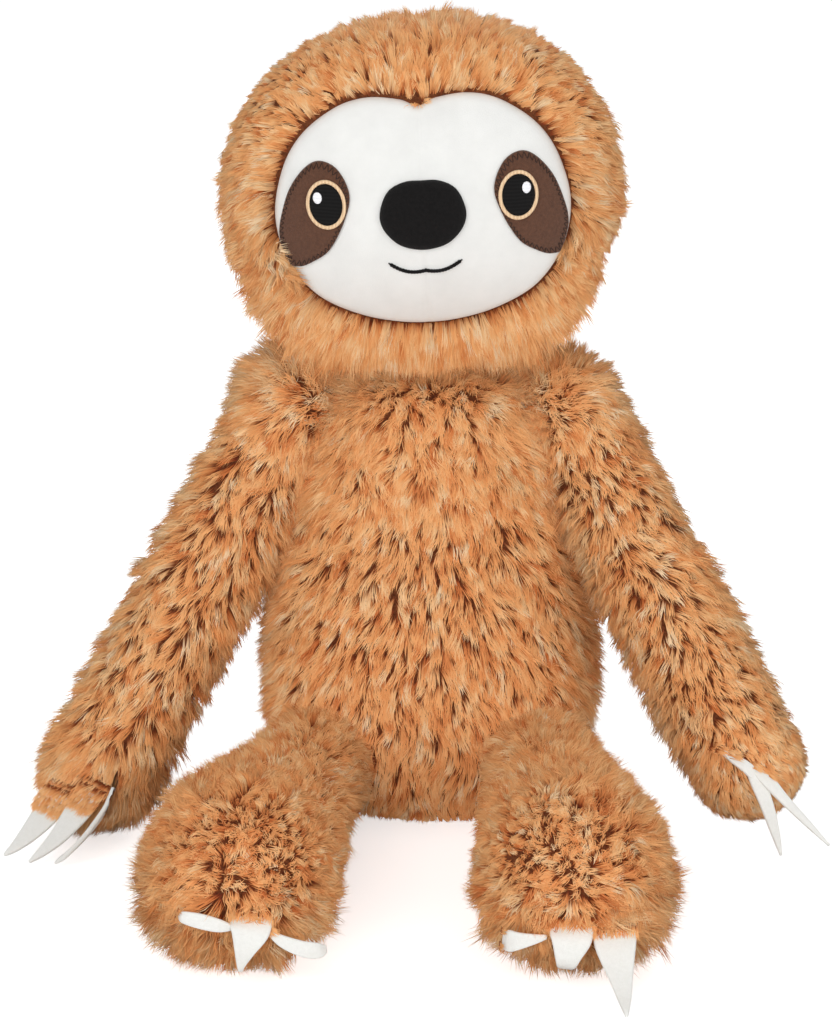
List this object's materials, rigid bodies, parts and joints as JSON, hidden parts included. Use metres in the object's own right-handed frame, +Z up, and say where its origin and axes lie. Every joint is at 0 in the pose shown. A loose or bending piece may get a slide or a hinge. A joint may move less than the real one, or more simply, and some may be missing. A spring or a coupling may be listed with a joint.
{
  "type": "plush sloth",
  "caption": "Sitting plush sloth with shaggy covers over stuffing, a white sewn face, long arms, club-shaped legs and felt claws.",
  "frame": {"origin": "centre of the flat seat that the toy sits on", "axes": "+Z up, the face looks along -Y, the toy's own left side is at +X"},
  "size_m": [0.386, 0.3382, 0.3761],
  "materials": {
    "plush": "shaggy ginger pile, about 13 mm, dark at the roots",
    "wadding": "white polyester fibre",
    "backing": "knitted backing cloth",
    "white_plush": "smooth short white pile",
    "brown_felt": "dark brown felt with a stitched edge",
    "tan_thread": "satin stitch in pale tan thread",
    "black_felt": "black felt with a short nap",
    "black_thread": "satin stitch in black thread",
    "white_thread": "satin stitch in white thread",
    "white_felt": "off-white felt, two layers sewn together"
  },
  "bodies": {
    "torso": {"torso_front_panel": "plush", "torso_back_panel": "plush", "seat_panel": "plush", "torso_stuffing": "wadding"},
    "neck": {"neck_seam_tab": "backing"},
    "head": {"head_panel_left": "plush", "head_panel_right": "plush", "face_panel_left": "white_plush", "face_panel_right": "white_plush", "head_stuffing": "wadding", "eye_patch_left": "brown_felt", "eye_patch_right": "brown_felt", "eye_ring_left": "tan_thread", "eye_ring_right": "tan_thread", "pupil_left": "black_thread", "pupil_right": "black_thread", "eye_glint_left": "white_thread", "eye_glint_right": "white_thread", "nose": "black_felt", "mouth": "black_thread"},
    "left_shoulder": {"left_shoulder_seam_tab": "backing"},
    "left_arm": {"left_arm_front_panel": "plush", "left_arm_back_panel": "plush", "left_arm_stuffing": "wadding"},
    "left_hand_claw_1": {"left_hand_claw_1": "white_felt"},
    "left_hand_claw_2": {"left_hand_claw_2": "white_felt"},
    "left_hand_claw_3": {"left_hand_claw_3": "white_felt"},
    "right_shoulder": {"right_shoulder_seam_tab": "backing"},
    "right_arm": {"right_arm_front_panel": "plush", "right_arm_back_panel": "plush", "right_arm_stuffing": "wadding"},
    "right_hand_claw_1": {"right_hand_claw_1": "white_felt"},
    "right_hand_claw_2": {"right_hand_claw_2": "white_felt"},
    "right_hand_claw_3": {"right_hand_claw_3": "white_felt"},
    "left_hip": {"left_hip_seam_tab": "backing"},
    "left_leg": {"left_leg_top_panel": "plush", "left_leg_sole_panel": "plush", "left_leg_stuffing": "wadding"},
    "left_foot_claw_1": {"left_foot_claw_1": "white_felt"},
    "left_foot_claw_2": {"left_foot_claw_2": "white_felt"},
    "left_foot_claw_3": {"left_foot_claw_3": "white_felt"},
    "right_hip": {"right_hip_seam_tab": "backing"},
    "right_leg": {"right_leg_top_panel": "plush", "right_leg_sole_panel": "plush", "right_leg_stuffing": "wadding"},
    "right_foot_claw_1": {"right_foot_claw_1": "white_felt"},
    "right_foot_claw_2": {"right_foot_claw_2": "white_felt"},
    "right_foot_claw_3": {"right_foot_claw_3": "white_felt"}
  },
  "joints": [
    {"name": "neck_turn", "type": "hinge", "parent": "torso", "child": "neck", "pos_m": [0, 0.004, 0.222], "axis": [0, 0, 1], "range_deg": [-40, 40]},
    {"name": "neck_nod", "type": "hinge", "parent": "neck", "child": "head", "pos_m": [0, 0.004, 0.222], "axis": [1, 0, 0], "range_deg": [-20, 20]},
    {"name": "left_arm_swing", "type": "hinge", "parent": "torso", "child": "left_shoulder", "pos_m": [0.064, 0, 0.191], "axis": [-1, 0, 0], "range_deg": [-20, 80]},
    {"name": "left_arm_spread", "type": "hinge", "parent": "left_shoulder", "child": "left_arm", "pos_m": [0.064, 0, 0.191], "axis": [0, -0.8387, 0.5446], "range_deg": [0, 30]},
    {"name": "right_arm_swing", "type": "hinge", "parent": "torso", "child": "right_shoulder", "pos_m": [-0.064, 0, 0.191], "axis": [-1, 0, 0], "range_deg": [-20, 80]},
    {"name": "right_arm_spread", "type": "hinge", "parent": "right_shoulder", "child": "right_arm", "pos_m": [-0.064, 0, 0.191], "axis": [0, 0.9673, -0.2538], "range_deg": [0, 30]},
    {"name": "left_leg_raise", "type": "hinge", "parent": "torso", "child": "left_hip", "pos_m": [0.05, -0.036, 0.034], "axis": [-1, 0, 0], "range_deg": [-75, 20]},
    {"name": "left_leg_spread", "type": "hinge", "parent": "left_hip", "child": "left_leg", "pos_m": [0.05, -0.036, 0.034], "axis": [0, 0.0471, 0.9989], "range_deg": [-7, 20]},
    {"name": "right_leg_raise", "type": "hinge", "parent": "torso", "child": "right_hip", "pos_m": [-0.05, -0.036, 0.034], "axis": [-1, 0, 0], "range_deg": [-75, 20]},
    {"name": "right_leg_spread", "type": "hinge", "parent": "right_hip", "child": "right_leg", "pos_m": [-0.05, -0.036, 0.034], "axis": [0, -0.0471, -0.9989], "range_deg": [-7, 20]},
    {"name": "left_hand_claw_1_bend", "type": "hinge", "parent": "left_arm", "child": "left_hand_claw_1", "pos_m": [0.13714, -0.12121, 0.0469], "axis": [0.9739, -0.2232, -0.0409], "range_deg": [-70, 20]},
    {"name": "left_hand_claw_2_bend", "type": "hinge", "parent": "left_arm", "child": "left_hand_claw_2", "pos_m": [0.15165, -0.12095, 0.0466], "axis": [0.9659, 0.2588, 0], "range_deg": [-70, 20]},
    {"name": "left_hand_claw_3_bend", "type": "hinge", "parent": "left_arm", "child": "left_hand_claw_3", "pos_m": [0.16435, -0.11392, 0.0469], "axis": [0.7318, 0.6803, 0.0409], "range_deg": [-70, 20]},
    {"name": "right_hand_claw_1_bend", "type": "hinge", "parent": "right_arm", "child": "right_hand_claw_1", "pos_m": [-0.15106, -0.07077, 0.02534], "axis": [0.9911, 0.0551, 0.1215], "range_deg": [-40, 40]},
    {"name": "right_hand_claw_2_bend", "type": "hinge", "parent": "right_arm", "child": "right_hand_claw_2", "pos_m": [-0.1653, -0.06814, 0.02443], "axis": [0.9135, -0.4067, 0], "range_deg": [-40, 40]},
    {"name": "right_hand_claw_3_bend", "type": "hinge", "parent": "right_arm", "child": "right_hand_claw_3", "pos_m": [-0.17679, -0.05931, 0.02534], "axis": [0.6222, -0.7734, -0.1215], "range_deg": [-40, 40]},
    {"name": "left_foot_claw_1_bend", "type": "hinge", "parent": "left_leg", "child": "left_foot_claw_1", "pos_m": [0.04112, -0.23451, 0.03065], "axis": [0.9066, -0.399, -0.1373], "range_deg": [-45, 15]},
    {"name": "left_foot_claw_2_bend", "type": "hinge", "parent": "left_leg", "child": "left_foot_claw_2", "pos_m": [0.06131, -0.23815, 0.02919], "axis": [0.9984, 0.0558, 0], "range_deg": [-45, 15]},
    {"name": "left_foot_claw_3_bend", "type": "hinge", "parent": "left_leg", "child": "left_foot_claw_3", "pos_m": [0.08097, -0.23228, 0.03065], "axis": [0.8565, 0.4975, 0.1373], "range_deg": [-45, 15]},
    {"name": "right_foot_claw_1_bend", "type": "hinge", "parent": "right_leg", "child": "right_foot_claw_1", "pos_m": [-0.05791, -0.22886, 0.03052], "axis": [0.8405, 0.5242, 0.1373], "range_deg": [-45, 15]},
    {"name": "right_foot_claw_2_bend", "type": "hinge", "parent": "right_leg", "child": "right_foot_claw_2", "pos_m": [-0.07737, -0.23534, 0.02907], "axis": [0.9962, 0.0872, 0], "range_deg": [-45, 15]},
    {"name": "right_foot_claw_3_bend", "type": "hinge", "parent": "right_leg", "child": "right_foot_claw_3", "pos_m": [-0.09766, -0.23234, 0.03052], "axis": [0.9187, -0.3703, -0.1373], "range_deg": [-45, 15]}
  ]
}
